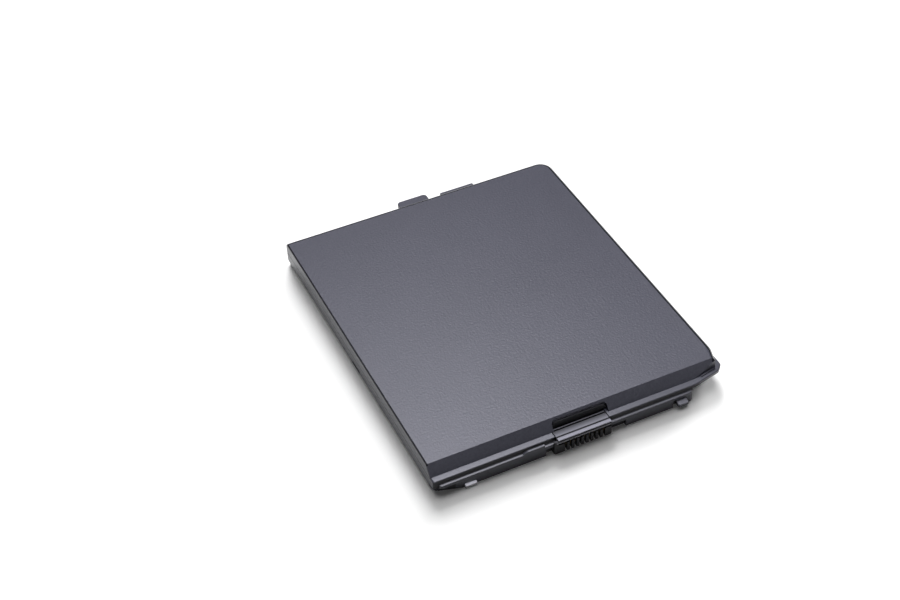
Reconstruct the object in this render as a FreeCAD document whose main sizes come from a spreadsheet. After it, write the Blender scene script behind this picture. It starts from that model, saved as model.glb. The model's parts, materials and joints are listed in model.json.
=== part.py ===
import FreeCAD, Part
import math
import os
import re
import Sketcher

# Driving sizes in millimetres, or plain counts
SIZES = {
    # whole pack
    "face_width": 130.0,
    "face_length": 150.2,
    "pack_height": 12.0,
    "cover_height": 4.8,
    "case_wall": 1.6,
    "fit_gap": 0.1,
    "soft_radius": 0.4,
    "fine_radius": 0.2,
    # outer cover
    "cover_thickness": 1.6,
    "front_wall": 1.0,
    "front_lean": 3.4,
    "edge_radius": 2.2,
    "left_edge_radius": 0.8,
    "corner_radius": 6.5,
    "scoop_middle": 1.1,
    "scoop_width": 25.0,
    "scoop_margin": 0.9,
    "scoop_setback": 0.6,
    "scoop_radius": 1.8,
    "end_cut_length": 13.7,
    "end_cut_depth": 3.05,
    "taper_width": 2.8,
    "taper_length": 9.4,
    "hook_drop": 1.8,
    "hook_thickness": 2.0,
    "wide_hook_middle": -1.3,
    "wide_hook_width": 14.8,
    "wide_hook_reach": 5.1,
    "wide_hook_radius": 1.8,
    "thin_hook_middle": 20.7,
    "thin_hook_width": 17.0,
    "thin_hook_reach": 2.4,
    "thin_hook_radius": 0.5,
    # inner tray
    "floor_thickness": 1.4,
    "rim_reach": 2.7,
    "rim_drop": 1.8,
    "lip_reach": 1.35,
    "lip_inset": 2.4,
    "lip_radius": 1.0,
    "lip_end_radius": 2.4,
    "lip_slope": 0.5,
    "step_left": 27.0,
    "step_ramp": 2.0,
    "step_length": 9.5,
    "step_height": 0.7,
    "tray_corner_radius": 8.0,
    "bottom_radius": 2.6,
    "corner_cut_width": 11.8,
    "corner_cut_bend": 1.8,
    "corner_cut_rise": 3.15,
    "corner_cut_depth": 5.45,
    "corner_cut_skin": 1.8,
    "tongue_thickness": 0.9,
    "tongue_height": 1.2,
    "flange_thickness": 1.5,
    "flange_side": 1.0,
    "flange_bend": 14.2,
    "flange_corner": 2.8,
    "flange_end": 8.9,
    "flange_radius": 2.0,
    "foot_rib_start": 10.2,
    "foot_rib_gap": 0.5,
    "foot_rib_width": 0.5,
    "foot_rib_height": 0.5,
    "notch_width": 15.7,
    "notch_back": 4.5,
    "notch_radius": 4.0,
    "side_slot_middle": 71.6,
    "side_slot_length": 8.0,
    "side_slot_bottom": 2.5,
    "side_slot_height": 1.1,
    "side_slot_depth": 1.0,
    "left_lug_middle": -50.5,
    "left_lug_width": 5.2,
    "left_lug_reach": 1.25,
    "left_lug_top": 1.8,
    "right_lug_middle": 45.3,
    "right_lug_width": 4.7,
    "right_lug_reach": 2.25,
    "right_lug_top": 3.0,
    "lug_thickness": 1.7,
    "lug_slope": 0.5,
    "lug_radius": 0.6,
    "pocket_left": 1.4,
    "pocket_rise": 0.5,
    "pocket_depth": 1.6,
    "recess_left": 17.0,
    "recess_right": 19.5,
    "recess_depth": 1.6,
    "recess_skin": 2.0,
    # connector
    "connector_width": 24.0,
    "seat_gap": 0.4,
    "nose_left": 13.8,
    "nose_right": 12.4,
    "nose_reach": 1.15,
    "nose_bottom": 0.1,
    "nose_radius": 0.8,
    "plate_thickness": 0.35,
    "groove_height": 0.35,
    "groove_depth": 0.5,
    "visor_reach": 0.3,
    "visor_thickness": 0.8,
    "undercut_height": 1.2,
    "undercut_depth": 0.9,
    "stripe_groove_middle": 6.6,
    "stripe_groove_width": 0.35,
    "stripe_groove_depth": 0.3,
    "seam_front": 3.3,
    "seam_width": 0.75,
    "seam_rib": 0.5,
    "seam_depth": 1.2,
    "hood_margin": 2.1,
    "hood_thickness": 0.5,
    "contact_count": 9,
    "contact_pitch": 2.15,
    "slot_width": 1.1,
    "slot_depth": 2.4,
    "contact_sheet": 0.2,
    "contact_setback": 1.1,
    "contact_bottom": 1.6,
    # board and what is on it
    "board_front": 6.6,
    "board_depth": 11.0,
    "board_side_gap": 3.0,
    "board_thickness": 1.0,
    "board_stand": 2.0,
    "rail_thickness": 1.2,
    "divider_thickness": 1.0,
    "insulator_thickness": 0.2,
    "tail_landing": 2.4,
    # cells and what joins them
    "foam_thickness": 0.8,
    "cell_gap": 0.6,
    "cell_edge": 1.2,
    "cell_corner_radius": 4.0,
    "cell_end_gap": 0.5,
    "terrace_length": 4.0,
    "terrace_thickness": 0.5,
    "tape_thickness": 0.2,
    "tape_margin": 4.0,
    "tab_width": 5.0,
    "tab_sheet": 0.15,
    "tab_offset": 9.0,
    "tab_drop_run": 1.2,
    "strap_sheet": 0.2,
    "strap_depth": 4.0,
    "strap_margin": 0.5,
}

# Parts on the board: middle from the board's nearer end, setback from its front edge, then three sides
LEFT_PARTS = {
    "gauge_chip": (38.2, 0.8, 5.0, 5.0, 1.0),
    "protector_chip": (26.2, 1.4, 4.0, 3.0, 0.9),
    "thermistor": (8.2, 2.0, 2.0, 1.2, 0.8),
    "input_capacitor": (17.2, 1.0, 3.2, 1.6, 1.4),
    "output_capacitor": (17.2, 4.0, 3.2, 1.6, 1.4),
}
RIGHT_PARTS = {
    "charge_switch": (41.6, 0.8, 5.0, 5.5, 1.1),
    "discharge_switch": (33.6, 0.8, 5.0, 5.5, 1.1),
    "pack_fuse": (23.6, 1.2, 4.0, 3.2, 1.3),
    "sense_resistor": (15.6, 1.2, 6.0, 3.0, 0.6),
}
for label, values in (LEFT_PARTS | RIGHT_PARTS).items():
    for side, value in zip(("middle", "setback", "length", "depth", "rise"), values):
        SIZES[f"{label}_{side}"] = value

# Places worked out from the sizes: x from the middle of the face,
# y from the front edge of the face, z from the underside
LEFT = "(-face_width / 2 - left_edge_radius)"
RIGHT = "(face_width / 2 + edge_radius)"
BACK = "(face_length + edge_radius)"
PARTING = "(pack_height - cover_height)"
CEILING = "(pack_height - cover_thickness)"
RIM_FRONT = "(-front_lean - rim_reach)"
LIP_FRONT = "(-front_lean - rim_reach - lip_reach)"
LIP_TOP = f"({PARTING} - rim_drop)"
TONGUE_TOP = f"({PARTING} + tongue_height)"
TRAY_INSET = "(case_wall + fit_gap + tongue_thickness)"
BAY_LEFT = f"({LEFT} + {TRAY_INSET})"
BAY_RIGHT = f"({RIGHT} - {TRAY_INSET})"
BAY_FRONT = "(front_wall + fit_gap + tongue_thickness)"
BAY_BACK = f"({BACK} - {TRAY_INSET})"
NOTCH_LEFT = f"({RIGHT} - notch_width)"
NOTCH_WALL = "(notch_back + case_wall)"
RECESS_BACK = f"({LIP_FRONT} + recess_depth)"
RECESS_TOP = f"({LIP_TOP} - recess_skin)"
NOSE_FRONT = f"({LIP_FRONT} - nose_reach)"
VISOR_TOP = f"({PARTING} - plate_thickness - groove_height)"
VISOR_BOTTOM = f"({VISOR_TOP} - visor_thickness)"
BOARD_BOTTOM = "(floor_thickness + board_stand)"
BOARD_TOP = f"({BOARD_BOTTOM} + board_thickness)"
BOARD_LEFT = f"({BAY_LEFT} + board_side_gap)"
BOARD_RIGHT = f"({BAY_RIGHT} - board_side_gap)"
FORK_TOP = f"({BOARD_TOP} + contact_sheet)"
STRAP_TOP = f"({BOARD_TOP} + strap_sheet)"
STRAP_BACK = "(board_front + board_depth)"
STRAP_FRONT = f"({STRAP_BACK} - strap_depth)"
TAB_BEND = f"({STRAP_BACK} + tab_drop_run)"
DIVIDER_FRONT = f"({TAB_BEND} + fit_gap)"
CELL_FRONT = f"({DIVIDER_FRONT} + divider_thickness + cell_end_gap + terrace_length)"
CELL_BACK = f"({BAY_BACK} - cell_end_gap)"
CELL_BOTTOM = "(floor_thickness + tape_thickness)"
CELL_TOP = f"({CEILING} - foam_thickness)"
CELL_PITCH = f"(({BAY_RIGHT} - {BAY_LEFT}) / 3)"
TAB_LEVEL = f"(({CELL_BOTTOM} + {CELL_TOP}) / 2)"

# The origin lies under the middle of the whole pack's outline
SHIFT_X = "((left_edge_radius - edge_radius - flange_side) / 2)"
SHIFT_Y = f"(-({BACK} + wide_hook_reach + {LIP_FRONT} - right_lug_reach) / 2)"

TOLERANCE = 1e-4
GUESS_RADIUS = 10.0

doc = FreeCAD.newDocument("TabletBattery")
sheet = doc.addObject("Spreadsheet::Sheet", "Sizes")
for row, (name, value) in enumerate(SIZES.items(), start=1):
    sheet.set(f"A{row}", name)
    sheet.set(f"B{row}", str(value))
    sheet.setAlias(f"B{row}", name)
doc.recompute()

nodes = []


def size(name):
    """A driving size, read from the sheet."""
    return float(sheet.get(name))


def cells(formula):
    """The formula with each size name pointed at its cell of the sheet."""
    return re.sub(r"[a-z][a-z_]+", lambda word: "Sizes." + word.group(), formula)


def bind(owner, path, formula):
    """Ties one property of an object to the sheet."""
    owner.setExpression(path, cells(formula))


def place(node, x="0", y="0", z="0"):
    """Stands a sub-part at a place given from the face's front edge and the underside."""
    bind(node, "Placement.Base.x", f"{SHIFT_X} + {x}")
    bind(node, "Placement.Base.y", f"{SHIFT_Y} + {y}")
    bind(node, "Placement.Base.z", z)


def new_body(label, x="0", y="0", z="0"):
    """A sub-part built from sketches."""
    body = doc.addObject("PartDesign::Body", label)
    body.Label = label
    place(body, x, y, z)
    nodes.append(body)
    return body


def new_box(label, low, high):
    """A sub-part that is a plain block between two corners."""
    box = doc.addObject("Part::Box", label)
    box.Label = label
    place(box, *low)
    for side, start, end in zip(("Length", "Width", "Height"), low, high):
        bind(box, side, f"{end} - ({start})")
    nodes.append(box)
    return box


def outline(body, name, plane, points, start):
    """A closed outline of straight lines on a plane of the body, each corner tied to the sheet."""
    sketch = body.newObject("Sketcher::SketchObject", name)
    support = next(item for item in body.Origin.OriginFeatures if item.Role == plane)
    sketch.AttachmentSupport = [(support, "")]
    sketch.MapMode = "FlatFace"
    away = f"-({start})" if plane == "XZ_Plane" else start
    bind(sketch, "AttachmentOffset.Base.z", away)
    count = len(points)
    turn = 2 * math.pi / count
    ring = [FreeCAD.Vector(GUESS_RADIUS * math.cos(turn * i), GUESS_RADIUS * math.sin(turn * i), 0)
            for i in range(count)]
    for i in range(count):
        sketch.addGeometry(Part.LineSegment(ring[i], ring[(i + 1) % count]), False)
    for i in range(count):
        sketch.addConstraint(Sketcher.Constraint("Coincident", i, 2, (i + 1) % count, 1))
    for i, (across, up) in enumerate(points):
        for kind, formula, guess in (("DistanceX", across, ring[i].x), ("DistanceY", up, ring[i].y)):
            index = sketch.addConstraint(Sketcher.Constraint(kind, i, 1, guess))
            bind(sketch, f"Constraints[{index}]", formula)
    return sketch


def rectangle(left, front, right, back):
    """The four corners of a rectangle."""
    return [(left, front), (right, front), (right, back), (left, back)]


def extrude(body, name, plane, points, start, end, cut=False):
    """Adds or cuts a prism with that outline, from start to end along X, Y or Z."""
    before = body.Shape.Volume if body.Tip else 0.0
    sketch = outline(body, name + "Outline", plane, points, start)
    feature = body.newObject("PartDesign::Pocket" if cut else "PartDesign::Pad", name)
    feature.Profile = sketch
    bind(feature, "Length", f"{end} - ({start})")
    feature.Reversed = cut != (plane == "XZ_Plane")
    doc.recompute()
    change = body.Shape.Volume - before
    if change * (-1 if cut else 1) < TOLERANCE:
        raise RuntimeError(f"{body.Label}: {name} changes nothing")
    return feature


def dress_edges(body, name, kind, measure, value, test):
    """Puts a fillet or a chamfer on the edges of the body that pass the test."""
    base = body.Tip
    names = [f"Edge{i}" for i, edge in enumerate(base.Shape.Edges, start=1) if test(edge.BoundBox)]
    if not names:
        raise RuntimeError(f"{body.Label}: {name} finds no edge")
    feature = body.newObject(kind, name)
    feature.Base = (base, names)
    bind(feature, measure, value)
    doc.recompute()


def round_edges(body, name, radius, test):
    """Rounds the edges of the body that pass the test."""
    dress_edges(body, name, "PartDesign::Fillet", "Radius", radius, test)


def bevel_edges(body, name, width, test):
    """Bevels the edges of the body that pass the test."""
    dress_edges(body, name, "PartDesign::Chamfer", "Size", width, test)


def same(first, second):
    return abs(first - second) < TOLERANCE


def upright(box):
    return same(box.XLength, 0) and same(box.YLength, 0)


def along_y(box):
    return same(box.XLength, 0) and same(box.ZLength, 0)


def level(box):
    return same(box.ZLength, 0)


def build_outer_cover():
    """The outer shell: a grained plate with a leaning front wall, a scoop and two back hooks."""
    body = new_body("outer_cover")
    top = size("pack_height")
    left = -size("face_width") / 2 - size("left_edge_radius")
    back = size("face_length") + size("edge_radius")
    section = [("-front_lean", PARTING), ("0", "pack_height"), (BACK, "pack_height"), (BACK, PARTING)]
    extrude(body, "Shell", "YZ_Plane", section, LEFT, RIGHT)
    taper = [(f"{RIGHT} - taper_width", "-front_lean"), (RIGHT, "-front_lean"),
             (RIGHT, "taper_length - front_lean")]
    extrude(body, "Taper", "XY_Plane", taper, PARTING, "pack_height", cut=True)
    round_edges(body, "BackCorner", "corner_radius", lambda box: upright(box) and box.XMin > 0)
    round_edges(body, "OuterEdge", "edge_radius",
                lambda box: same(box.ZMin, top) and box.YMax > 1 and box.XMax > left + 1)
    round_edges(body, "LeftEdge", "left_edge_radius",
                lambda box: same(box.ZMin, top) and same(box.XMax, left))
    round_edges(body, "FrontEdge", "soft_radius",
                lambda box: same(box.ZMin, top) and same(box.YMax, 0) and box.XLength > 1)
    hollow = rectangle(f"{LEFT} + case_wall", "front_wall", f"{RIGHT} - case_wall", f"{BACK} - case_wall")
    extrude(body, "Hollow", "XY_Plane", hollow, PARTING, CEILING, cut=True)
    ceiling = top - size("cover_thickness")
    round_edges(body, "HollowCorner", "tray_corner_radius - case_wall",
                lambda box: upright(box) and same(box.ZMax, ceiling))
    scoop = rectangle("scoop_middle - scoop_width / 2", PARTING, "scoop_middle + scoop_width / 2",
                      "pack_height - scoop_margin")
    extrude(body, "Scoop", "XZ_Plane", scoop, "-front_lean", "-scoop_setback", cut=True)
    brow = top - size("scoop_margin")
    round_edges(body, "ScoopCorner", "scoop_radius", lambda box: along_y(box) and same(box.ZMin, brow))
    end_cut = [(f"{RIGHT} - end_cut_length", "-front_lean"), (RIGHT, "-front_lean"),
               (RIGHT, "end_cut_depth - front_lean")]
    extrude(body, "EndCut", "XY_Plane", end_cut, PARTING, "pack_height", cut=True)
    for hook in ("wide_hook", "thin_hook"):
        plan = rectangle(f"{hook}_middle - {hook}_width / 2", f"{BACK} - case_wall / 2",
                         f"{hook}_middle + {hook}_width / 2", f"{BACK} + {hook}_reach")
        extrude(body, hook, "XY_Plane", plan, "pack_height - hook_drop - hook_thickness",
                "pack_height - hook_drop")
        tip = back + size(f"{hook}_reach")
        round_edges(body, hook + "_corner", f"{hook}_radius",
                    lambda box: upright(box) and same(box.YMax, tip))
        hook_top = top - size("hook_drop")
        round_edges(body, hook + "_edge", "soft_radius",
                    lambda box: same(box.ZMin, hook_top) and same(box.YMin, tip))


def build_inner_tray():
    """The lower shell: stepped front rim, finger flange over a notch, tongue and board bay."""
    body = new_body("inner_tray")
    left = -size("face_width") / 2 - size("left_edge_radius")
    right = size("face_width") / 2 + size("edge_radius")
    back = size("face_length") + size("edge_radius")
    rim_front = -size("front_lean") - size("rim_reach")
    lip_front = rim_front - size("lip_reach")
    notch_left = right - size("notch_width")
    plan = [(LEFT, RIM_FRONT), (NOTCH_LEFT, RIM_FRONT), (NOTCH_LEFT, "notch_back"),
            (RIGHT, "notch_back"), (RIGHT, BACK), (LEFT, BACK)]
    extrude(body, "Block", "XY_Plane", plan, "0", PARTING)
    flange = [(f"{NOTCH_LEFT} - case_wall", RIM_FRONT), (f"{RIGHT} - flange_bend", RIM_FRONT),
              (f"{RIGHT} + flange_side - flange_corner", "-front_lean"),
              (f"{RIGHT} + flange_side", "flange_corner - front_lean"),
              (f"{RIGHT} + flange_side", "flange_end"),
              (f"{RIGHT} - case_wall", "flange_end"), (f"{NOTCH_LEFT} - case_wall", "flange_end")]
    extrude(body, "Flange", "XY_Plane", flange, f"{PARTING} - flange_thickness", PARTING)
    outer_side = right + size("flange_side")
    round_edges(body, "FlangeCorner", "flange_radius",
                lambda box: upright(box) and box.XMin > outer_side - size("flange_corner") - TOLERANCE
                and box.YMax < 1)
    parting = size("pack_height") - size("cover_height")
    round_edges(body, "RimEdge", "soft_radius",
                lambda box: same(box.ZMin, parting) and same(box.ZMax, parting)
                and (same(box.YMax, rim_front) or (box.YMin < -1 and box.XMin > notch_left and box.YMax < 1)))
    island = rectangle(f"{LEFT} + case_wall + fit_gap", "front_wall + fit_gap",
                       f"{RIGHT} - case_wall - fit_gap", f"{BACK} - case_wall - fit_gap")
    extrude(body, "Tongue", "XY_Plane", island, PARTING, TONGUE_TOP)
    tongue_top = size("pack_height") - size("cover_height") + size("tongue_height")
    round_edges(body, "TongueCorner", "tray_corner_radius - case_wall - fit_gap",
                lambda box: upright(box) and same(box.ZMax, tongue_top))
    round_edges(body, "BackRightCorner", "corner_radius",
                lambda box: upright(box) and same(box.YMax, back) and box.XMax > 0)
    round_edges(body, "FrontLeftCorner", "left_edge_radius",
                lambda box: upright(box) and same(box.XMin, left) and same(box.YMin, rim_front))
    round_edges(body, "NotchCorner", "notch_radius",
                lambda box: upright(box) and same(box.XMin, notch_left) and box.YMin > 0)
    round_edges(body, "BottomEdge", "bottom_radius",
                lambda box: same(box.ZMax, 0) and same(box.XMax, left))
    round_edges(body, "BackLeftCorner", "left_edge_radius",
                lambda box: upright(box) and same(box.YMax, back) and box.XMax < 0)
    lip = [(LIP_FRONT, "0"), (f"{RIM_FRONT} + case_wall", "0"), (f"{RIM_FRONT} + case_wall", LIP_TOP),
           (RIM_FRONT, LIP_TOP), (LIP_FRONT, f"{LIP_TOP} - lip_slope")]
    extrude(body, "Lip", "YZ_Plane", lip, f"{LEFT} + lip_inset", NOTCH_LEFT)
    round_edges(body, "LipCorner", "lip_radius",
                lambda box: upright(box) and same(box.YMin, lip_front) and box.XMin < 0)
    round_edges(body, "LipEnd", "lip_end_radius",
                lambda box: upright(box) and same(box.YMin, lip_front) and box.XMin > 0)
    lip_edge = parting - size("rim_drop") - size("lip_slope")
    round_edges(body, "LipEdge", "fine_radius",
                lambda box: same(box.ZMin, lip_edge) and same(box.YMax, lip_front))
    bay = [(BAY_LEFT, BAY_FRONT), (f"{NOTCH_LEFT} - case_wall", BAY_FRONT),
           (f"{NOTCH_LEFT} - case_wall", NOTCH_WALL), (BAY_RIGHT, NOTCH_WALL),
           (BAY_RIGHT, BAY_BACK), (BAY_LEFT, BAY_BACK)]
    extrude(body, "Bay", "XY_Plane", bay, "floor_thickness", TONGUE_TOP, cut=True)
    for name, front in (("FrontRail", "board_front"), ("BackRail", f"{STRAP_BACK} - rail_thickness")):
        rail = rectangle(BOARD_LEFT, front, BOARD_RIGHT, f"{front} + rail_thickness")
        extrude(body, name, "XY_Plane", rail, "floor_thickness", BOARD_BOTTOM)
    divider = rectangle(BAY_LEFT, DIVIDER_FRONT, BAY_RIGHT, f"{DIVIDER_FRONT} + divider_thickness")
    extrude(body, "Divider", "XY_Plane", divider, "floor_thickness", f"{TAB_LEVEL} - fit_gap")
    first, last = (f"(end_cut_depth * (end_cut_length - {inset}) / end_cut_length - front_lean - foot_rib_gap)"
                   for inset in ("foot_rib_start", "taper_width"))
    foot = [(f"{RIGHT} - foot_rib_start", first), (f"{RIGHT} - taper_width", last),
            (f"{RIGHT} - taper_width", f"{last} - foot_rib_width"),
            (f"{RIGHT} - foot_rib_start", f"{first} - foot_rib_width")]
    extrude(body, "FootRib", "XY_Plane", foot, PARTING, f"{PARTING} + foot_rib_height")
    step_foot = f"{LIP_TOP} - lip_slope - fine_radius"
    step = [("-step_left", step_foot), ("-step_left", LIP_TOP),
            ("-step_left + step_ramp", f"{LIP_TOP} + step_height"),
            ("-step_left + step_length", f"{LIP_TOP} + step_height"), ("-step_left + step_length", step_foot)]
    extrude(body, "LipStep", "XZ_Plane", step, LIP_FRONT, f"{RIM_FRONT} + case_wall")
    corner = [(LEFT, LIP_FRONT), (f"{LEFT} + corner_cut_width", LIP_FRONT),
              (f"{LEFT} + corner_cut_bend", f"{LIP_FRONT} + corner_cut_rise"),
              (LEFT, f"{LIP_FRONT} + corner_cut_depth")]
    extrude(body, "CornerCut", "XY_Plane", corner, "0", f"{LIP_TOP} - corner_cut_skin", cut=True)
    recess = rectangle("-recess_left", LIP_FRONT, "recess_right", RECESS_BACK)
    extrude(body, "Recess", "XY_Plane", recess, "0", RECESS_TOP, cut=True)
    seat = rectangle("-connector_width / 2 - seat_gap", LIP_FRONT, "connector_width / 2 + seat_gap", BAY_FRONT)
    extrude(body, "ConnectorSeat", "XY_Plane", seat, "floor_thickness", TONGUE_TOP, cut=True)
    slot = rectangle("side_slot_middle - side_slot_length / 2", "side_slot_bottom",
                     "side_slot_middle + side_slot_length / 2", "side_slot_bottom + side_slot_height")
    extrude(body, "SideSlot", "YZ_Plane", slot, LEFT, f"{LEFT} + side_slot_depth", cut=True)
    pocket = rectangle("right_lug_middle - right_lug_width / 2 - pocket_left", LIP_FRONT,
                       "right_lug_middle + right_lug_width / 2 + fit_gap", f"{LIP_FRONT} + pocket_depth")
    extrude(body, "LugPocket", "XY_Plane", pocket, "0", "right_lug_top + pocket_rise", cut=True)
    for lug in ("left_lug", "right_lug"):
        root = f"{LIP_FRONT} + pocket_depth + case_wall / 2"
        section = [(root, f"{lug}_top - lug_thickness"), (root, f"{lug}_top"), (LIP_FRONT, f"{lug}_top"),
                   (f"{LIP_FRONT} - {lug}_reach", f"{lug}_top - lug_slope"),
                   (f"{LIP_FRONT} - {lug}_reach", f"{lug}_top - lug_thickness")]
        extrude(body, lug, "YZ_Plane", section, f"{lug}_middle - {lug}_width / 2",
                f"{lug}_middle + {lug}_width / 2")
        tip = lip_front - size(f"{lug}_reach")
        round_edges(body, lug + "_corner", "lug_radius", lambda box: upright(box) and same(box.YMin, tip))
        tip_top = size(f"{lug}_top") - size("lug_slope")
        round_edges(body, lug + "_edge", "fine_radius",
                    lambda box: same(box.ZMin, tip_top) and same(box.YMax, tip))


def build_connector_housing():
    """The comb block: a hood in the scoop, and a visor over slots that are open to the front and below."""
    body = new_body("connector_housing")
    nose_front = -size("front_lean") - size("rim_reach") - size("lip_reach") - size("nose_reach")
    inside = rectangle("-connector_width / 2", f"{NOSE_FRONT}", "connector_width / 2", f"{BAY_FRONT} - fit_gap")
    extrude(body, "Block", "XY_Plane", inside, "floor_thickness", PARTING)
    top = size("pack_height") - size("cover_height")
    round_edges(body, "BlockEdge", "fine_radius",
                lambda box: same(box.ZMin, top) and same(box.YMax, nose_front))
    groove = rectangle("-connector_width / 2", NOSE_FRONT, "connector_width / 2", f"{NOSE_FRONT} + groove_depth")
    extrude(body, "FrontGroove", "XY_Plane", groove, VISOR_TOP, f"{PARTING} - plate_thickness", cut=True)
    apron = rectangle("-nose_left", NOSE_FRONT, "nose_right", f"{LIP_FRONT} - fit_gap")
    extrude(body, "Apron", "XY_Plane", apron, "nose_bottom", VISOR_TOP)
    round_edges(body, "ApronCorner", "nose_radius",
                lambda box: upright(box) and same(box.YMin, nose_front) and same(box.ZMin, size("nose_bottom")))
    nose = rectangle("-nose_left", f"{LIP_FRONT} - fit_gap", "nose_right", f"{RECESS_BACK} - fit_gap")
    extrude(body, "Nose", "XY_Plane", nose, "nose_bottom", f"{RECESS_TOP} - fit_gap")
    visor = rectangle("nose_radius - nose_left", f"{NOSE_FRONT} - visor_reach", "nose_right - nose_radius",
                      f"{LIP_FRONT} - fit_gap")
    extrude(body, "Visor", "XY_Plane", visor, VISOR_BOTTOM, VISOR_TOP)
    undercut = rectangle("-connector_width / 2", NOSE_FRONT, "connector_width / 2",
                         f"{NOSE_FRONT} + undercut_depth")
    extrude(body, "Undercut", "XY_Plane", undercut, f"{VISOR_BOTTOM} - undercut_height", VISOR_BOTTOM, cut=True)
    stripe = rectangle("-connector_width / 2", "-stripe_groove_middle - stripe_groove_width / 2",
                       "connector_width / 2", "-stripe_groove_middle + stripe_groove_width / 2")
    extrude(body, "StripeGroove", "XY_Plane", stripe, f"{PARTING} - stripe_groove_depth", PARTING, cut=True)
    seam = rectangle("-connector_width / 2", "-seam_front", "connector_width / 2", "-seam_front + seam_width")
    extrude(body, "Seam", "XY_Plane", seam, f"{PARTING} - seam_depth", PARTING, cut=True)
    shelf = rectangle("-connector_width / 2", "-seam_front + seam_width + seam_rib", "connector_width / 2",
                      "-scoop_setback")
    extrude(body, "Shelf", "XY_Plane", shelf, f"{PARTING} - seam_depth", PARTING, cut=True)
    hood_back = "(-scoop_setback - fit_gap)"
    hood_front = f"({hood_back} - hood_thickness)"
    foot = rectangle("-connector_width / 2 + case_wall", f"{PARTING} - seam_depth",
                     "connector_width / 2 - case_wall", f"{PARTING} + hood_thickness")
    extrude(body, "HoodFoot", "XZ_Plane", foot, hood_front, hood_back)
    hood = rectangle("scoop_middle - scoop_width / 2 + fit_gap", f"{PARTING} + fit_gap",
                     "scoop_middle + scoop_width / 2 - fit_gap", "pack_height - hood_margin")
    extrude(body, "Hood", "XZ_Plane", hood, hood_front, hood_back)
    hood_top = size("pack_height") - size("hood_margin")
    round_edges(body, "HoodCorner", "scoop_radius", lambda box: along_y(box) and same(box.ZMin, hood_top))
    first = "(-(contact_count - 1) * contact_pitch / 2)"
    mouth = rectangle(f"{first} - slot_width / 2", "nose_bottom", f"{first} + slot_width / 2",
                      f"{FORK_TOP} + fit_gap")
    slot = extrude(body, "Slot", "XZ_Plane", mouth, NOSE_FRONT, f"{NOSE_FRONT} + slot_depth", cut=True)
    passage = rectangle(f"{first} - slot_width / 2", f"{BOARD_TOP} - fit_gap",
                        f"{first} + slot_width / 2", f"{FORK_TOP} + fit_gap")
    tail_way = extrude(body, "TailWay", "XZ_Plane", passage, f"{NOSE_FRONT} + slot_depth", BAY_FRONT, cut=True)
    row_of_slots = body.newObject("PartDesign::LinearPattern", "SlotRow")
    row_of_slots.Originals = [slot, tail_way]
    row_of_slots.Direction = (slot.Profile[0], ["H_Axis"])
    bind(row_of_slots, "Length", "(contact_count - 1) * contact_pitch")
    bind(row_of_slots, "Occurrences", "contact_count")
    body.Tip = row_of_slots
    doc.recompute()


def build_contact(number):
    """One sprung contact: a fork bent from sheet, with a tail that lands on the board."""
    x = f"({number} - (contact_count + 1) / 2) * contact_pitch"
    body = new_body(f"contact_{number}", x)
    half = "(slot_width / 2 - fit_gap / 2)"
    gap = f"({half} - contact_sheet)"
    mouth = f"({NOSE_FRONT} + contact_setback)"
    root = f"({NOSE_FRONT} + slot_depth - fit_gap)"
    fork = [(f"-{half}", mouth), (f"-{gap}", mouth), (f"-{gap}", f"{root} - contact_sheet"),
            (gap, f"{root} - contact_sheet"), (gap, mouth), (half, mouth), (half, root), (f"-{half}", root)]
    extrude(body, "Fork", "XY_Plane", fork, "contact_bottom", FORK_TOP)
    tail = rectangle(f"-{half}", f"{root} - contact_sheet", half, "board_front + tail_landing")
    extrude(body, "Tail", "XY_Plane", tail, BOARD_TOP, FORK_TOP)


def build_cell(label, middle):
    """One pouch cell: a soft edged slab with a sealed terrace at its tab end."""
    body = new_body(label, middle)
    half = f"({CELL_PITCH} / 2 - cell_gap / 2)"
    slab = rectangle(f"-{half}", CELL_FRONT, half, CELL_BACK)
    extrude(body, "Slab", "XY_Plane", slab, CELL_BOTTOM, CELL_TOP)
    round_edges(body, "SlabCorner", "cell_corner_radius", upright)
    bevel_edges(body, "SoftEdge", "cell_edge", level)
    terrace = rectangle(f"-{half} + cell_corner_radius", f"{CELL_FRONT} - terrace_length",
                        f"{half} - cell_corner_radius", f"{CELL_FRONT} + cell_edge")
    extrude(body, "Terrace", "XY_Plane", terrace, f"{TAB_LEVEL} - terrace_thickness",
            TAB_LEVEL)


def build_tab(label, middle):
    """One cell tab: a strip that leaves the terrace and steps down to its strap."""
    body = new_body(label, middle)
    low = STRAP_TOP
    section = [(f"{CELL_FRONT}", TAB_LEVEL), (TAB_BEND, TAB_LEVEL), (STRAP_BACK, low), (STRAP_FRONT, low),
               (STRAP_FRONT, f"{low} + tab_sheet"), (STRAP_BACK, f"{low} + tab_sheet"),
               (TAB_BEND, f"{TAB_LEVEL} + tab_sheet"), (f"{CELL_FRONT}", f"{TAB_LEVEL} + tab_sheet")]
    extrude(body, "Strip", "YZ_Plane", section, "-tab_width / 2", "tab_width / 2")


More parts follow.
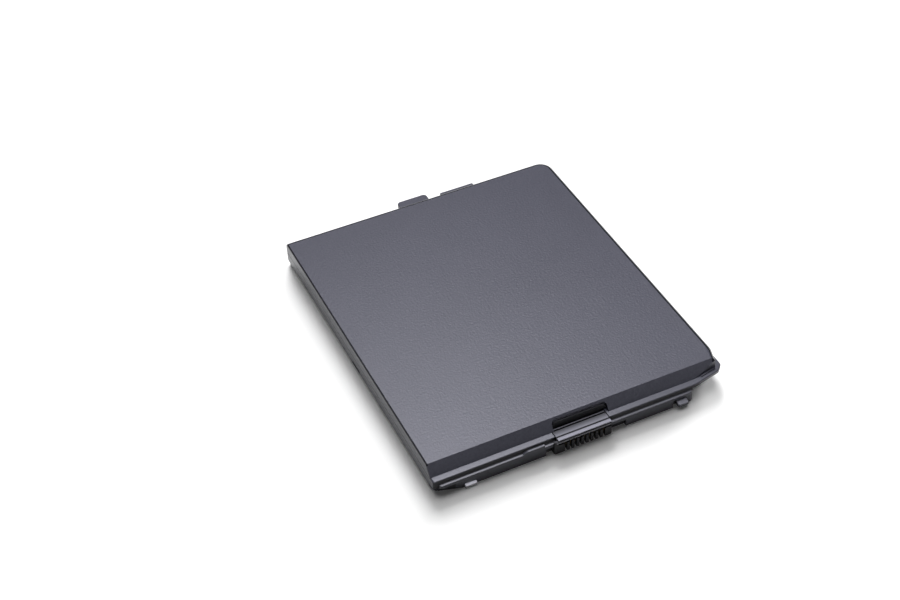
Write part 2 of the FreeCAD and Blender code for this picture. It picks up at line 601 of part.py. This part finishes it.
def build_cells():
    """The three cells side by side, with their tapes, foam pads, tabs and straps."""
    columns = ("left", "middle", "right")
    middles = [f"({BAY_LEFT} + {CELL_PITCH} * {i + 0.5})" for i in range(len(columns))]
    half = f"({CELL_PITCH} / 2 - cell_gap / 2 - tape_margin)"
    front = f"{CELL_FRONT} + tape_margin"
    back = f"{CELL_BACK} - tape_margin"
    for column, middle in zip(columns, middles):
        build_cell(f"cell_{column}", middle)
        new_box(f"tape_{column}", (f"{middle} - {half}", front, "floor_thickness"),
                (f"{middle} + {half}", back, CELL_BOTTOM))
        new_box(f"foam_{column}", (f"{middle} - {half}", front, CELL_TOP),
                (f"{middle} + {half}", back, CEILING))
        build_tab(f"minus_tab_{column}", f"{middle} - tab_offset")
        build_tab(f"plus_tab_{column}", f"{middle} + tab_offset")
    reach = "(tab_width / 2 + strap_margin)"
    spans = {
        "strap_minus": (f"{middles[0]} - tab_offset", f"{middles[0]} - tab_offset"),
        "strap_low": (f"{middles[0]} + tab_offset", f"{middles[1]} - tab_offset"),
        "strap_high": (f"{middles[1]} + tab_offset", f"{middles[2]} - tab_offset"),
        "strap_plus": (f"{middles[2]} + tab_offset", f"{middles[2]} + tab_offset"),
    }
    for label, (first, last) in spans.items():
        new_box(label, (f"{first} - {reach}", STRAP_FRONT, BOARD_TOP),
                (f"{last} + {reach}", STRAP_BACK, STRAP_TOP))


def build_board():
    """The protection board on its rails, the parts soldered to it and the sheet over it."""
    new_box("protection_board", (BOARD_LEFT, "board_front", BOARD_BOTTOM), (BOARD_RIGHT, STRAP_BACK, BOARD_TOP))
    middles = {label: f"{BOARD_LEFT} + {label}_middle" for label in LEFT_PARTS}
    middles |= {label: f"{BOARD_RIGHT} - {label}_middle" for label in RIGHT_PARTS}
    for label, middle in middles.items():
        front = f"board_front + {label}_setback"
        new_box(label, (f"{middle} - {label}_length / 2", front, BOARD_TOP),
                (f"{middle} + {label}_length / 2", f"{front} + {label}_depth", f"{BOARD_TOP} + {label}_rise"))
    new_box("board_insulator", (BOARD_LEFT, "board_front", f"{CEILING} - insulator_thickness"),
            (BOARD_RIGHT, STRAP_BACK, CEILING))


build_outer_cover()
build_inner_tray()
build_connector_housing()
for number in range(1, int(size("contact_count")) + 1):
    build_contact(number)
build_cells()
build_board()
doc.recompute()

# Every object has to be sound before anything is written
for item in doc.Objects:
    if "Invalid" in item.State or "Error" in item.State:
        raise RuntimeError(f"{item.Label}: {item.State}")
for node in nodes:
    if node.Shape.isNull() or not node.Shape.isValid() or len(node.Shape.Solids) != 1:
        raise RuntimeError(f"{node.Label}: shape isn't one sound solid")

os.makedirs("parts", exist_ok=True)
whole = FreeCAD.BoundBox()
for node in nodes:
    node.Shape.exportStep(f"parts/{node.Label}.step")
    whole.add(node.Shape.BoundBox)
print("nodes", len(nodes), "box", whole)
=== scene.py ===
import json
import math

import bpy
import numpy as np
from mathutils import Matrix, Vector


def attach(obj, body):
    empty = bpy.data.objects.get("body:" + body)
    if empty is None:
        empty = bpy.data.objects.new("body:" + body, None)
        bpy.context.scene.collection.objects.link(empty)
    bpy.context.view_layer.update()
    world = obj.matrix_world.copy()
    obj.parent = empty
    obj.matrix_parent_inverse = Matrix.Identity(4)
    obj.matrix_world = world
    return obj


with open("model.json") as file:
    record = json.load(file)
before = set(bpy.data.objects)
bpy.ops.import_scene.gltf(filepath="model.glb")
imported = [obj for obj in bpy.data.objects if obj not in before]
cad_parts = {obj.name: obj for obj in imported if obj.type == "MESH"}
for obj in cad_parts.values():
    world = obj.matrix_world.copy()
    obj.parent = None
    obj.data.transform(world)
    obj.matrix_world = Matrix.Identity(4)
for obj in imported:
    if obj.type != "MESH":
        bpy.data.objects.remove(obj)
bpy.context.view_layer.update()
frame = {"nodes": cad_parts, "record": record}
scene = bpy.context.scene

# Places and lengths are in metres, in the frame of the part: x to the right, y to the back, z up

# The camera as solved from the photograph: place, line of sight, roll in degrees, focal length in pixels
CAMERA_PLACE = Vector((-0.22499, -0.47091, 0.47564))
CAMERA_SIGHT = Vector((0.29683, 0.68644, -0.66385))
CAMERA_ROLL = 2.8426
FOCAL_PIXELS = 1618.31
IMAGE_WIDTH = 900
SENSOR_WIDTH = 36.0

# Soft boxes that light the pack: degrees turned from the back edge to the right, degrees raised, watts
SOFT_BOXES = {
    "back": (12, 57, 2.4),
    "key": (30, 64, 3.4),
    "overhead": (90, 80, 5.5),
}
SOFT_BOX_WIDTH = 0.40
COOL_LIGHT = (0.98, 0.98, 1.08)

# Far lamps that light the floor: degrees turned and raised in the same way, degrees of spread, strength
FAR_LAMPS = {
    "low": (17, 31, 26, 3.9),
    "high": (10, 64, 55, 1.35),
    "side": (55, 12, 20, 4.2),
}

# The floor: half its width, its height, its colour where it only lights the pack, its colour where it is
# seen, and the light that it shows of itself, which keeps its deepest shadow from going black
FLOOR_HALF = 2.5
FLOOR_HEIGHT = -0.0001
FLOOR_COLOUR = (0.86, 0.86, 0.86)
WHITE = (1.0, 1.0, 1.0)
FLOOR_LIFT = 0.03

# The room's dim light, and how high its white backdrop looks, as the sine of an angle: where it has ended,
# and up to where it is full
ROOM_LIGHT = 0.02
BACKDROP_EDGE = (0.16, 0.10)

# The cover's outline: its sides, its rounded back corner, where it begins to narrow at the front right,
# and which way the narrowing side faces
COVER_LEFT = -0.0670
COVER_RIGHT = 0.0660
COVER_BACK = 0.0785
COVER_CORNER = 0.0065
TAPER_START = (0.0660, -0.0679)
TAPER_OUTWARD = (0.9584, -0.2855)

# The cover's heights, the radius of its top edge, and the thickness of its walls
COVER_LOW = 0.0072
COVER_CEILING = 0.0104
COVER_TOP = 0.012
COVER_EDGE = 0.0022
COVER_WALL = 0.0016

# The fill of the cover's back corner: its inner radius, how far it stays off the walls, its rows of points
# up the straight and the rounded height, and its points along the outer and the inner arc
FILL_RADIUS = 0.004
FILL_GAP = 0.00001
STRAIGHT_ROWS = 3
ROUNDED_ROWS = 5
OUTER_POINTS = 13
INNER_POINTS = 25

# Bands along the face's edges that hands have polished smoother, with painted shade that darkens them: their
# widths, and how far down they go
POLISH_SHADE_RIGHT = 0.0021
POLISH_SHADE_LEFT = 0.0007
POLISH_SHADE_TAPER = 0.0016
POLISH_SHADE_LOWEST = 0.0106
POLISH_SHADE_LOWEST_LEFT = 0.0113

# The connector: the height of its top plate, where a highlight is painted, the plate's rib and groove, the
# height of the painted highlight line on the visor, and how pale the rib and that line are painted beside
# the plate's front
PLATE_HEIGHT = 0.0071
PLATE_RIB = -0.0762
PLATE_GROOVE = -0.0805
VISOR_LINE = 0.0060
RIB_SHARE = 0.4
VISOR_SHARE = 0.6

# The corner between the tray's lip and the rim above it, where shade is painted
LIP_CORNER = -0.0801

# The soft edges of the polished and painted places, painted shade and painted highlights: where the mask is
# zero, then where it is one. The first six are distances, the last five are places.
POLISH_SHADE_EDGE = (-0.00015, 0.00015)
PLATE_EDGE = (0.0003, 0.0001)
RIB_EDGE = (0.0004, 0.0003)
GROOVE_EDGE = (0.0003, 0.0006)
VISOR_EDGE = (0.0004, 0.0002)
CORNER_EDGE = (0.0006, 0.0004)

PLATE_FRONT = (-0.0765, -0.0825)
VISOR_FRONT = (-0.0826, -0.0827)
LUG_FRONT = (-0.0814, -0.0817)
LEFT_HALF = (0.0, -0.001)
UNDER_RIM = (0.0070, 0.0068)

# The finishes of those places: colour and roughness. The colours are painted shade and painted highlights
POLISHED_AND_SHADED = ((0.020, 0.020, 0.024), 0.15)
PLATE_HIGHLIGHT = ((0.25, 0.25, 0.28), 0.34)
LUG_HIGHLIGHT = ((0.46, 0.46, 0.48), 0.32)
LIP_CORNER_SHADE = ((0.010, 0.010, 0.013), 0.75)

# The grain of every surface: how rough its spots are, how fine the small and the broad spots go, how much
# broader the broad ones are, and the share of each in the colour
GRAIN_ROUGHNESS = 0.55
FINE_DETAIL = 2.0
BROAD_DETAIL = 3.0
BROAD_SCALE = 40
FINE_SHARE = 0.7
BROAD_SHARE = 0.3

# Every finish by its slot: darkest and lightest colour, range of roughness, size and depth of the grain
FINISHES = {
    "cover_plastic": dict(dark=(0.046, 0.047, 0.058), light=(0.093, 0.094, 0.116), rough=(0.28, 0.42),
                          grain_size=0.0010, grain_depth=0.000085),
    "tray_plastic": dict(dark=(0.040, 0.041, 0.053), light=(0.052, 0.053, 0.068), rough=(0.31, 0.38),
                         grain_size=0.0004, grain_depth=0.000012, specular=0.62),
    "connector_plastic": dict(dark=(0.010, 0.010, 0.012), light=(0.016, 0.016, 0.019), rough=(0.54, 0.64),
                              grain_size=0.0003, grain_depth=0.000006),
    "contact_metal": dict(dark=(0.20, 0.15, 0.09), light=(0.28, 0.21, 0.12), rough=(0.36, 0.48),
                          grain_size=0.0002, grain_depth=0.000004, metallic=1.0),
    "cell_pouch": dict(dark=(0.62, 0.62, 0.64), light=(0.74, 0.74, 0.76), rough=(0.30, 0.45),
                       grain_size=0.0012, grain_depth=0.00004, metallic=1.0),
    "aluminium_tab": dict(dark=(0.74, 0.74, 0.76), light=(0.84, 0.84, 0.86), rough=(0.28, 0.40),
                          grain_size=0.0004, grain_depth=0.000006, metallic=1.0),
    "nickel": dict(dark=(0.54, 0.52, 0.48), light=(0.66, 0.64, 0.60), rough=(0.26, 0.38),
                   grain_size=0.0004, grain_depth=0.000006, metallic=1.0),
    "board_laminate": dict(dark=(0.022, 0.13, 0.055), light=(0.035, 0.18, 0.08), rough=(0.22, 0.34),
                           grain_size=0.0006, grain_depth=0.000008),
    "chip_resin": dict(dark=(0.016, 0.016, 0.018), light=(0.028, 0.028, 0.030), rough=(0.50, 0.64),
                       grain_size=0.0002, grain_depth=0.000008),
    "chip_ceramic": dict(dark=(0.44, 0.36, 0.28), light=(0.58, 0.50, 0.40), rough=(0.40, 0.55),
                         grain_size=0.0003, grain_depth=0.000006),
    "tape": dict(dark=(0.72, 0.72, 0.69), light=(0.84, 0.84, 0.81), rough=(0.50, 0.65),
                 grain_size=0.0008, grain_depth=0.00001),
    "foam": dict(dark=(0.030, 0.030, 0.031), light=(0.060, 0.060, 0.062), rough=(0.80, 0.95),
                 grain_size=0.0005, grain_depth=0.00008),
    "insulating_paper": dict(dark=(0.62, 0.56, 0.41), light=(0.76, 0.70, 0.54), rough=(0.70, 0.85),
                             grain_size=0.0004, grain_depth=0.00001),
}


def make_camera():
    """The photograph's camera, which leans a little to the right."""
    sight = CAMERA_SIGHT.normalized()
    level = sight.cross(Vector((0, 0, 1))).normalized()
    rise = level.cross(sight)
    roll = math.radians(CAMERA_ROLL)
    right = level * math.cos(roll) - rise * math.sin(roll)
    up = right.cross(sight)
    data = bpy.data.cameras.new("photo_camera")
    data.sensor_width = SENSOR_WIDTH
    data.lens = FOCAL_PIXELS * SENSOR_WIDTH / IMAGE_WIDTH
    camera = bpy.data.objects.new("photo_camera", data)
    turn = Matrix((right, up, -sight)).transposed()
    camera.matrix_world = Matrix.Translation(CAMERA_PLACE) @ turn.to_4x4()
    scene.collection.objects.link(camera)
    scene.camera = camera


def aim_lamp(name, data, lit, turn, rise):
    """Puts a lamp a metre off, facing the pack: degrees turned from the back edge to the right, and raised.

    The lamp lights only what the collection lit says.
    """
    turn = math.radians(turn)
    rise = math.radians(rise)
    across = math.cos(rise)
    place = Vector((across * math.sin(turn), across * math.cos(turn), math.sin(rise)))
    lamp = bpy.data.objects.new(name, data)
    lamp.location = place
    lamp.rotation_mode = "QUATERNION"
    lamp.rotation_quaternion = (-place).to_track_quat("-Z", "Y")
    lamp.light_linking.receiver_collection = lit
    scene.collection.objects.link(lamp)


def make_soft_box(name, lit, turn, rise, watts):
    """A square soft box, a little cool."""
    data = bpy.data.lights.new(name, "AREA")
    data.size = SOFT_BOX_WIDTH
    data.energy = watts
    data.color = COOL_LIGHT
    aim_lamp(name, data, lit, turn, rise)


def make_far_lamp(name, lit, turn, rise, spread, strength):
    """A far, wide lamp, which lights a floor evenly. Its spread softens the shadow."""
    data = bpy.data.lights.new(name, "SUN")
    data.angle = math.radians(spread)
    data.energy = strength
    aim_lamp(name, data, lit, turn, rise)


def lamp_target(name, floor, state):
    """What a lamp lights: the floor alone, or all but the floor."""
    target = bpy.data.collections.new(name)
    target.objects.link(floor)
    target.collection_objects[0].light_linking.link_state = state
    return target


def work(tree, operation, *values):
    """One step of arithmetic. Each value is a float or the output of a node."""
    node = tree.nodes.new("ShaderNodeMath")
    node.operation = operation
    for socket, value in zip(node.inputs, values):
        if isinstance(value, float):
            socket.default_value = value
        else:
            tree.links.new(value, socket)
    return node.outputs[0]


def distance(tree, value, middle):
    """How far a value is from a middle, to either side."""
    return work(tree, "ABSOLUTE", work(tree, "SUBTRACT", value, middle))


def soft_step(tree, value, low, high):
    """Goes from zero to one while a value goes from low to high."""
    node = tree.nodes.new("ShaderNodeMapRange")
    node.interpolation_type = "SMOOTHSTEP"
    node.inputs["From Min"].default_value = low
    node.inputs["From Max"].default_value = high
    tree.links.new(value, node.inputs["Value"])
    return node.outputs["Result"]


def ramp(tree, factor, low, high):
    """Maps a factor from zero to one onto a range of numbers."""
    node = tree.nodes.new("ShaderNodeMapRange")
    node.inputs["To Min"].default_value = low
    node.inputs["To Max"].default_value = high
    tree.links.new(factor, node.inputs["Value"])
    return node.outputs["Result"]


def blend(tree, factor, first, second):
    """Goes from one colour to another with a factor."""
    node = tree.nodes.new("ShaderNodeMix")
    node.data_type = "RGBA"
    node.inputs["A"].default_value = (*first, 1)
    node.inputs["B"].default_value = (*second, 1)
    tree.links.new(factor, node.inputs["Factor"])
    return node.outputs["Result"]


def axes(tree, coordinates):
    """The x, y and z of a kind of texture coordinates."""
    split = tree.nodes.new("ShaderNodeSeparateXYZ")
    tree.links.new(tree.nodes.new("ShaderNodeTexCoord").outputs[coordinates], split.inputs[0])
    return split.outputs


def seen_directly(tree):
    """One for camera, mirror and glass rays, which show a surface itself. Zero for rays that only light."""
    path = tree.nodes.new("ShaderNodeLightPath").outputs
    mirror = work(tree, "MAXIMUM", path["Is Camera Ray"], path["Is Glossy Ray"])
    return work(tree, "MAXIMUM", mirror, path["Is Transmission Ray"])


def make_floor():
    """A pale table top. Where it is seen, its colour is lifted to white, and it keeps the shadow."""
    corners = [(-1, -1), (1, -1), (1, 1), (-1, 1)]
    mesh = bpy.data.meshes.new("floor")
    points = [(FLOOR_HALF * x, FLOOR_HALF * y, FLOOR_HEIGHT) for x, y in corners]
    mesh.from_pydata(points, [], [(0, 1, 2, 3)])
    floor = bpy.data.objects.new("floor", mesh)
    scene.collection.objects.link(floor)
    material = bpy.data.materials.new("floor")
    material.use_nodes = True
    tree = material.node_tree
    tree.nodes.clear()
    seen = seen_directly(tree)
    paint = tree.nodes.new("ShaderNodeBsdfDiffuse")
    tree.links.new(blend(tree, seen, FLOOR_COLOUR, WHITE), paint.inputs["Color"])
    glow = tree.nodes.new("ShaderNodeEmission")
    tree.links.new(work(tree, "MULTIPLY", seen, FLOOR_LIFT), glow.inputs["Strength"])
    both = tree.nodes.new("ShaderNodeAddShader")
    tree.links.new(paint.outputs[0], both.inputs[0])
    tree.links.new(glow.outputs[0], both.inputs[1])
    out = tree.nodes.new("ShaderNodeOutputMaterial")
    tree.links.new(both.outputs[0], out.inputs["Surface"])
    mesh.materials.append(material)
    return floor


def white_background(tree, strength):
    """White light from all round."""
    node = tree.nodes.new("ShaderNodeBackground")
    node.inputs["Color"].default_value = (*WHITE, 1)
    node.inputs["Strength"].default_value = strength
    return node.outputs[0]


def make_world():
    """A dim studio room that the camera sees as white.

    Mirror and glass rays see white too, low down where a backdrop stands.
    """
    world = bpy.data.worlds.new("studio")
    scene.world = world
    world.use_nodes = True
    tree = world.node_tree
    tree.nodes.clear()
    low_down = soft_step(tree, axes(tree, "Generated")["Z"], *BACKDROP_EDGE)
    backdrop = work(tree, "MULTIPLY", seen_directly(tree), low_down)
    camera = tree.nodes.new("ShaderNodeLightPath").outputs["Is Camera Ray"]
    choice = tree.nodes.new("ShaderNodeMixShader")
    tree.links.new(work(tree, "MAXIMUM", camera, backdrop), choice.inputs["Fac"])
    tree.links.new(white_background(tree, ROOM_LIGHT), choice.inputs[1])
    tree.links.new(white_background(tree, 1.0), choice.inputs[2])
    out = tree.nodes.new("ShaderNodeOutputWorld")
    tree.links.new(choice.outputs[0], out.inputs["Surface"])


def fill_back_corner(material):
    """Fills the inside of the cover's round back corner, where its two walls alone would leave a slit.

    At each height the outline follows the cover's round corner from one inner wall to the other, at a radius
    that shrinks where the top edge rounds over, and comes back along a smaller arc that touches both walls.
    """
    shoulder = COVER_TOP - COVER_EDGE
    straight = np.linspace(COVER_LOW + FILL_GAP, shoulder, STRAIGHT_ROWS)
    rounded = np.linspace(shoulder, COVER_CEILING - FILL_GAP, ROUNDED_ROWS)
    heights = np.concatenate((straight, rounded[1:]))[:, None]
    over = np.clip(heights - shoulder, 0, None)
    radius = COVER_CORNER - COVER_EDGE + np.sqrt(COVER_EDGE ** 2 - over ** 2) - FILL_GAP
    reach = COVER_CORNER - COVER_WALL - FILL_GAP
    first = np.arccos(reach / radius)
    angle = first + (math.pi / 2 - 2 * first) * np.linspace(0, 1, OUTER_POINTS)
    back = np.tile(np.linspace(math.pi / 2, 0, INNER_POINTS), (len(heights), 1))
    across = np.hstack((radius * np.cos(angle), reach - FILL_RADIUS + FILL_RADIUS * np.cos(back)))
    along = np.hstack((radius * np.sin(angle), reach - FILL_RADIUS + FILL_RADIUS * np.sin(back)))
    points = np.stack((across + COVER_RIGHT - COVER_CORNER, along + COVER_BACK - COVER_CORNER,
                       np.broadcast_to(heights, across.shape)), axis=-1)
    number = np.arange(across.size).reshape(across.shape)
    low = number[:-1]
    high = number[1:]
    sides = np.stack((low, np.roll(low, -1, axis=1), np.roll(high, -1, axis=1), high), axis=-1)
    ends = [number[0, ::-1].tolist(), number[-1].tolist()]
    mesh = bpy.data.meshes.new("back_corner_fill")
    mesh.from_pydata(points.reshape(-1, 3).tolist(), [], sides.reshape(-1, 4).tolist() + ends)
    mesh.materials.append(material)
    fill = bpy.data.objects.new("back_corner_fill", mesh)
    scene.collection.objects.link(fill)
    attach(fill, "root")


def grain(tree, place, size, detail):
    """Soft random spots about size metres wide, from zero to one."""
    noise = tree.nodes.new("ShaderNodeTexNoise")
    noise.inputs["Scale"].default_value = 1.0 / size
    noise.inputs["Detail"].default_value = detail
    noise.inputs["Roughness"].default_value = GRAIN_ROUGHNESS
    tree.links.new(place, noise.inputs["Vector"])
    return noise.outputs["Fac"]


def make_surface(name, dark, light, rough, grain_size, grain_depth, metallic=0.0, specular=0.5):
    """A moulded, rolled or fired surface: mottled colour, uneven gloss and a fine bump, all at real size."""
    material = bpy.data.materials.new(name)
    material.use_nodes = True
    tree = material.node_tree
    shader = tree.nodes["Principled BSDF"]
    shader.inputs["Metallic"].default_value = metallic
    shader.inputs["Specular IOR Level"].default_value = specular
    place = tree.nodes.new("ShaderNodeTexCoord").outputs["Object"]
    fine = grain(tree, place, grain_size, FINE_DETAIL)
    broad = grain(tree, place, BROAD_SCALE * grain_size, BROAD_DETAIL)
    mottle = work(tree, "MULTIPLY_ADD", broad, BROAD_SHARE, ramp(tree, fine, 0.0, FINE_SHARE))
    tree.links.new(blend(tree, mottle, dark, light), shader.inputs["Base Color"])
    tree.links.new(ramp(tree, fine, *rough), shader.inputs["Roughness"])
    bump = tree.nodes.new("ShaderNodeBump")
    bump.inputs["Strength"].default_value = 1.0
    bump.inputs["Distance"].default_value = grain_depth
    tree.links.new(fine, bump.inputs["Height"])
    tree.links.new(bump.outputs["Normal"], shader.inputs["Normal"])
    return material


def change_finish(material, mask, colour, roughness):
    """Gives a surface another colour and roughness where the mask is one."""
    tree = material.node_tree
    shader = tree.nodes["Principled BSDF"]
    for name, kind, value in (("Base Color", "RGBA", (*colour, 1)), ("Roughness", "FLOAT", roughness)):
        node = tree.nodes.new("ShaderNodeMix")
        node.data_type = kind
        tree.links.new(mask, node.inputs["Factor"])
        tree.links.new(shader.inputs[name].links[0].from_socket, node.inputs["A"])
        node.inputs["B"].default_value = value
        tree.links.new(node.outputs["Result"], shader.inputs[name])


def polish_and_shade_edges(material):
    """Wears the grain away along the face's left, right and back edge, and paints those bands darker as
    shade.

    Each edge gives how far a point is inside its band. The right and the back edge join in a round corner,
    at the length of the two ways past the corner's centre.
    """
    tree = material.node_tree
    x, y, z = axes(tree, "Object")
    past_right = work(tree, "MAXIMUM", work(tree, "SUBTRACT", x, COVER_RIGHT - COVER_CORNER), 0.0)
    past_back = work(tree, "MAXIMUM", work(tree, "SUBTRACT", y, COVER_BACK - COVER_CORNER), 0.0)
    squares = work(tree, "ADD", work(tree, "POWER", past_right, 2.0), work(tree, "POWER", past_back, 2.0))
    outer = work(tree, "SUBTRACT", work(tree, "POWER", squares, 0.5), COVER_CORNER - POLISH_SHADE_RIGHT)
    along_x = work(tree, "MULTIPLY", work(tree, "SUBTRACT", x, TAPER_START[0]), TAPER_OUTWARD[0])
    along_y = work(tree, "MULTIPLY", work(tree, "SUBTRACT", y, TAPER_START[1]), TAPER_OUTWARD[1])
    taper = work(tree, "ADD", work(tree, "ADD", along_x, along_y), POLISH_SHADE_TAPER)
    left = work(tree, "MINIMUM", work(tree, "SUBTRACT", COVER_LEFT + POLISH_SHADE_LEFT, x),
                work(tree, "SUBTRACT", z, POLISH_SHADE_LOWEST_LEFT))
    edge = work(tree, "MAXIMUM", work(tree, "MAXIMUM", outer, taper), left)
    band = work(tree, "MINIMUM", edge, work(tree, "SUBTRACT", z, POLISH_SHADE_LOWEST))
    polished_and_shaded = soft_step(tree, band, *POLISH_SHADE_EDGE)
    # painted shade: the bands get a darker colour, besides the smoother polish
    change_finish(material, polished_and_shaded, *POLISHED_AND_SHADED)
    tree.links.new(work(tree, "SUBTRACT", 1.0, polished_and_shaded), tree.nodes["Bump"].inputs["Strength"])


def paint_plate_highlight(material):
    """Paints a highlight on the connector's top plate, paler towards its front edge, and on its rib and
    visor in part.

    The groove in the plate stays dark.
    """
    tree = material.node_tree
    place = axes(tree, "Object")
    on_plate = soft_step(tree, distance(tree, place["Z"], PLATE_HEIGHT), *PLATE_EDGE)
    to_front = soft_step(tree, place["Y"], *PLATE_FRONT)
    on_rib = soft_step(tree, distance(tree, place["Y"], PLATE_RIB), *RIB_EDGE)
    off_groove = soft_step(tree, distance(tree, place["Y"], PLATE_GROOVE), *GROOVE_EDGE)
    pale = work(tree, "MAXIMUM", to_front, work(tree, "MULTIPLY", on_rib, RIB_SHARE))
    plate = work(tree, "MULTIPLY", on_plate, work(tree, "MULTIPLY", pale, off_groove))
    on_line = soft_step(tree, distance(tree, place["Z"], VISOR_LINE), *VISOR_EDGE)
    on_visor = work(tree, "MULTIPLY", on_line, soft_step(tree, place["Y"], *VISOR_FRONT))
    highlight = work(tree, "MAXIMUM", plate, work(tree, "MULTIPLY", on_visor, VISOR_SHARE))
    change_finish(material, highlight, *PLATE_HIGHLIGHT)


def paint_left_lug_highlight(material):
    """Paints a highlight on the tray's left lug, making it pale.

    Only the lugs reach past the front of the lip.
    """
    tree = material.node_tree
    place = axes(tree, "Object")
    before_lip = soft_step(tree, place["Y"], *LUG_FRONT)
    on_left = soft_step(tree, place["X"], *LEFT_HALF)
    change_finish(material, work(tree, "MULTIPLY", before_lip, on_left), *LUG_HIGHLIGHT)


def paint_lip_corner_shade(material):
    """Paints shade into the corner between the tray's lip and the rim above it, darkening it."""
    tree = material.node_tree
    place = axes(tree, "Object")
    in_corner = soft_step(tree, distance(tree, place["Y"], LIP_CORNER), *CORNER_EDGE)
    under_rim = soft_step(tree, place["Z"], *UNDER_RIM)
    change_finish(material, work(tree, "MULTIPLY", in_corner, under_rim), *LIP_CORNER_SHADE)


surfaces = {name: make_surface(name, **finish) for name, finish in FINISHES.items()}
# Painted shade on the face's edges and in the lip corner, painted highlights on the connector's plate and
# the left lug
polish_and_shade_edges(surfaces["cover_plastic"])
paint_plate_highlight(surfaces["connector_plastic"])
paint_left_lug_highlight(surfaces["tray_plastic"])
paint_lip_corner_shade(surfaces["tray_plastic"])

for part in frame["record"]["subparts"]:
    mesh = frame["nodes"][part["node"]].data
    mesh.materials.clear()
    mesh.materials.append(surfaces[part["material_slot"]])

fill_back_corner(surfaces["cover_plastic"])

scene.view_settings.view_transform = "Standard"
make_camera()
make_world()
floor = make_floor()
the_floor = lamp_target("the_floor", floor, "INCLUDE")
the_pack = lamp_target("the_pack", floor, "EXCLUDE")
for name, (turn, rise, watts) in SOFT_BOXES.items():
    make_soft_box(name, the_pack, turn, rise, watts)
for name, (turn, rise, spread, strength) in FAR_LAMPS.items():
    make_far_lamp(name, the_floor, turn, rise, spread, strength)
